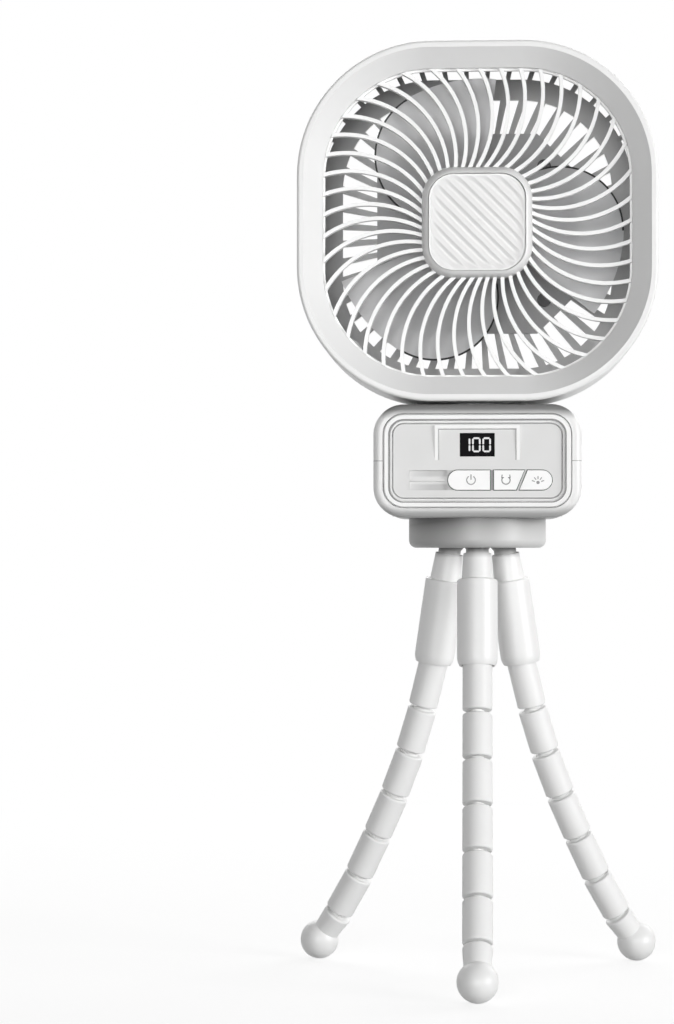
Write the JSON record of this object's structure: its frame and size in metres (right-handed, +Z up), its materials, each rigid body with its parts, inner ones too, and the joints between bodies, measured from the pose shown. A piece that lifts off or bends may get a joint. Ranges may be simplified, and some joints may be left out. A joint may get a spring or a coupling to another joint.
{
  "type": "portable camping fan",
  "caption": "Rounded-square fan head with a swirled grille and lamp, on a small control box with display, buttons and a bendable ball-jointed tripod.",
  "frame": {"origin": "on the floor, below the middle of the object's outline", "axes": "+Z up, the fan faces -Y, +X is to the right of someone who looks at its front"},
  "size_m": [0.1352, 0.119, 0.3396],
  "materials": {
    "shell_plastic": "white moulded plastic, satin",
    "guard_plastic": "white moulded plastic outside, in shade inside",
    "blade_plastic": "light grey moulded plastic",
    "plate_plastic": "mid grey moulded plastic",
    "lens_plastic": "frosted white lens with ripples",
    "display_black": "black gloss window",
    "display_lit": "lit white strokes",
    "steel": "plain steel",
    "motor_metal": "bare metal can",
    "board": "green circuit board",
    "cell_wrap": "blue shrink wrap over a metal can",
    "link_plastic": "white plastic, satin",
    "foot_rubber": "white rubber"
  },
  "bodies": {
    "base": {"box_upper_shell": "shell_plastic", "box_lower_shell": "shell_plastic", "box_screws": "steel", "panel_frame": "shell_plastic", "fascia": "shell_plastic", "control_board": "board", "display_module": "display_black", "display_digits": "display_lit", "switches": "steel", "battery_cells": "cell_wrap", "swing_motor": "motor_metal", "charging_socket": "steel", "tripod_hub": "shell_plastic", "hub_screws": "steel"},
    "turntable": {"turntable": "shell_plastic", "tilt_pin": "steel", "swing_shaft": "steel"},
    "head": {"front_frame": "shell_plastic", "front_grille": "shell_plastic", "lamp_diffuser": "lens_plastic", "lamp_board": "board", "rear_shell": "guard_plastic", "shell_screws": "steel", "motor_plate": "plate_plastic", "motor_screws": "steel", "motor": "motor_metal"},
    "impeller": {"impeller": "blade_plastic", "motor_shaft": "steel"},
    "power_key": {"power_button": "shell_plastic"},
    "swing_key": {"swing_button": "shell_plastic"},
    "light_key": {"light_button": "shell_plastic"},
    "front_thigh": {"front_thigh_core": "link_plastic", "front_thigh_sleeve": "link_plastic"},
    "front_link_first": {"front_link_first": "link_plastic"},
    "front_link_second": {"front_link_second": "link_plastic"},
    "front_link_third": {"front_link_third": "link_plastic"},
    "front_link_fourth": {"front_link_fourth": "link_plastic"},
    "front_link_fifth": {"front_link_fifth": "link_plastic"},
    "front_link_sixth": {"front_link_sixth": "link_plastic"},
    "front_foot": {"front_foot": "foot_rubber"},
    "right_thigh": {"right_thigh_core": "link_plastic", "right_thigh_sleeve": "link_plastic"},
    "right_link_first": {"right_link_first": "link_plastic"},
    "right_link_second": {"right_link_second": "link_plastic"},
    "right_link_third": {"right_link_third": "link_plastic"},
    "right_link_fourth": {"right_link_fourth": "link_plastic"},
    "right_link_fifth": {"right_link_fifth": "link_plastic"},
    "right_link_sixth": {"right_link_sixth": "link_plastic"},
    "right_foot": {"right_foot": "foot_rubber"},
    "left_thigh": {"left_thigh_core": "link_plastic", "left_thigh_sleeve": "link_plastic"},
    "left_link_first": {"left_link_first": "link_plastic"},
    "left_link_second": {"left_link_second": "link_plastic"},
    "left_link_third": {"left_link_third": "link_plastic"},
    "left_link_fourth": {"left_link_fourth": "link_plastic"},
    "left_link_fifth": {"left_link_fifth": "link_plastic"},
    "left_link_sixth": {"left_link_sixth": "link_plastic"},
    "left_foot": {"left_foot": "foot_rubber"}
  },
  "joints": [
    {"name": "head_swing", "type": "hinge", "parent": "base", "child": "turntable", "pos_m": [0, 0.01741, 0.20865], "axis": [0, 0, 1], "range_deg": [-60, 60]},
    {"name": "head_tilt", "type": "hinge", "parent": "turntable", "child": "head", "pos_m": [0, 0.02891, 0.21615], "axis": [-1, 0, 0], "range_deg": [0, 90]},
    {"name": "impeller_spin", "type": "hinge", "parent": "head", "child": "impeller", "pos_m": [0, 0.01741, 0.27465], "axis": [0, 1, 0], "continuous": true},
    {"name": "power_press", "type": "slide", "parent": "base", "child": "power_key", "axis": [0, 1, 0], "range_m": [0, 0.0004], "stiffness_N_per_m": 800},
    {"name": "swing_press", "type": "slide", "parent": "base", "child": "swing_key", "axis": [0, 1, 0], "range_m": [0, 0.0004], "stiffness_N_per_m": 800},
    {"name": "light_press", "type": "slide", "parent": "base", "child": "light_key", "axis": [0, 1, 0], "range_m": [0, 0.0004], "stiffness_N_per_m": 800},
    {"name": "front_hip", "type": "hinge", "parent": "base", "child": "front_thigh", "pos_m": [0, 0.00626, 0.15985], "axis": [-1, 0, 0], "range_deg": [-10, 10]},
    {"name": "front_knee", "type": "hinge", "parent": "front_thigh", "child": "front_link_first", "pos_m": [0, -0.0014, 0.11459], "axis": [1, 0, 0], "range_deg": [-5.8, 18.2]},
    {"name": "front_bend_second", "type": "hinge", "parent": "front_link_first", "child": "front_link_second", "pos_m": [0, -0.00722, 0.094], "axis": [-1, 0, 0], "range_deg": [-18.4, 11.6]},
    {"name": "front_bend_third", "type": "hinge", "parent": "front_link_second", "child": "front_link_third", "pos_m": [0, -0.01298, 0.07747], "axis": [1, 0, 0], "range_deg": [-10.8, 19.2]},
    {"name": "front_bend_fourth", "type": "hinge", "parent": "front_link_third", "child": "front_link_fourth", "pos_m": [0, -0.01993, 0.06141], "axis": [-1, 0, 0], "range_deg": [-18.2, 11.8]},
    {"name": "front_bend_fifth", "type": "hinge", "parent": "front_link_fourth", "child": "front_link_fifth", "pos_m": [0, -0.02777, 0.04577], "axis": [1, 0, 0], "range_deg": [-13.4, 16.6]},
    {"name": "front_bend_sixth", "type": "hinge", "parent": "front_link_fifth", "child": "front_link_sixth", "pos_m": [0, -0.03603, 0.03034], "axis": [-1, 0, 0], "range_deg": [-19.5, 10.5]},
    {"name": "front_ankle", "type": "hinge", "parent": "front_link_sixth", "child": "front_foot", "pos_m": [0, -0.04549, 0.01562], "axis": [1, 0, 0], "range_deg": [-8.7, 21.3]},
    {"name": "right_hip", "type": "hinge", "parent": "base", "child": "right_thigh", "pos_m": [0.00966, 0.02298, 0.15985], "axis": [0.5, -0.866, 0], "range_deg": [-10, 10]},
    {"name": "right_knee", "type": "hinge", "parent": "right_thigh", "child": "right_link_first", "pos_m": [0.01629, 0.02681, 0.11459], "axis": [-0.5, 0.866, 0], "range_deg": [-5.8, 18.2]},
    {"name": "right_bend_second", "type": "hinge", "parent": "right_link_first", "child": "right_link_second", "pos_m": [0.02133, 0.02972, 0.094], "axis": [0.5, -0.866, 0], "range_deg": [-18.4, 11.6]},
    {"name": "right_bend_third", "type": "hinge", "parent": "right_link_second", "child": "right_link_third", "pos_m": [0.02632, 0.0326, 0.07747], "axis": [-0.5, 0.866, 0], "range_deg": [-10.8, 19.2]},
    {"name": "right_bend_fourth", "type": "hinge", "parent": "right_link_third", "child": "right_link_fourth", "pos_m": [0.03234, 0.03608, 0.06141], "axis": [0.5, -0.866, 0], "range_deg": [-18.2, 11.8]},
    {"name": "right_bend_fifth", "type": "hinge", "parent": "right_link_fourth", "child": "right_link_fifth", "pos_m": [0.03912, 0.03999, 0.04577], "axis": [-0.5, 0.866, 0], "range_deg": [-13.4, 16.6]},
    {"name": "right_bend_sixth", "type": "hinge", "parent": "right_link_fifth", "child": "right_link_sixth", "pos_m": [0.04628, 0.04413, 0.03034], "axis": [0.5, -0.866, 0], "range_deg": [-19.5, 10.5]},
    {"name": "right_ankle", "type": "hinge", "parent": "right_link_sixth", "child": "right_foot", "pos_m": [0.05447, 0.04886, 0.01562], "axis": [-0.5, 0.866, 0], "range_deg": [-8.7, 21.3]},
    {"name": "left_hip", "type": "hinge", "parent": "base", "child": "left_thigh", "pos_m": [-0.00966, 0.02298, 0.15985], "axis": [0.5, 0.866, 0], "range_deg": [-10, 10]},
    {"name": "left_knee", "type": "hinge", "parent": "left_thigh", "child": "left_link_first", "pos_m": [-0.01629, 0.02681, 0.11459], "axis": [-0.5, -0.866, 0], "range_deg": [-5.8, 18.2]},
    {"name": "left_bend_second", "type": "hinge", "parent": "left_link_first", "child": "left_link_second", "pos_m": [-0.02133, 0.02972, 0.094], "axis": [0.5, 0.866, 0], "range_deg": [-18.4, 11.6]},
    {"name": "left_bend_third", "type": "hinge", "parent": "left_link_second", "child": "left_link_third", "pos_m": [-0.02632, 0.0326, 0.07747], "axis": [-0.5, -0.866, 0], "range_deg": [-10.8, 19.2]},
    {"name": "left_bend_fourth", "type": "hinge", "parent": "left_link_third", "child": "left_link_fourth", "pos_m": [-0.03234, 0.03608, 0.06141], "axis": [0.5, 0.866, 0], "range_deg": [-18.2, 11.8]},
    {"name": "left_bend_fifth", "type": "hinge", "parent": "left_link_fourth", "child": "left_link_fifth", "pos_m": [-0.03912, 0.03999, 0.04577], "axis": [-0.5, -0.866, 0], "range_deg": [-13.4, 16.6]},
    {"name": "left_bend_sixth", "type": "hinge", "parent": "left_link_fifth", "child": "left_link_sixth", "pos_m": [-0.04628, 0.04413, 0.03034], "axis": [0.5, 0.866, 0], "range_deg": [-19.5, 10.5]},
    {"name": "left_ankle", "type": "hinge", "parent": "left_link_sixth", "child": "left_foot", "pos_m": [-0.05447, 0.04886, 0.01562], "axis": [-0.5, -0.866, 0], "range_deg": [-8.7, 21.3]}
  ]
}
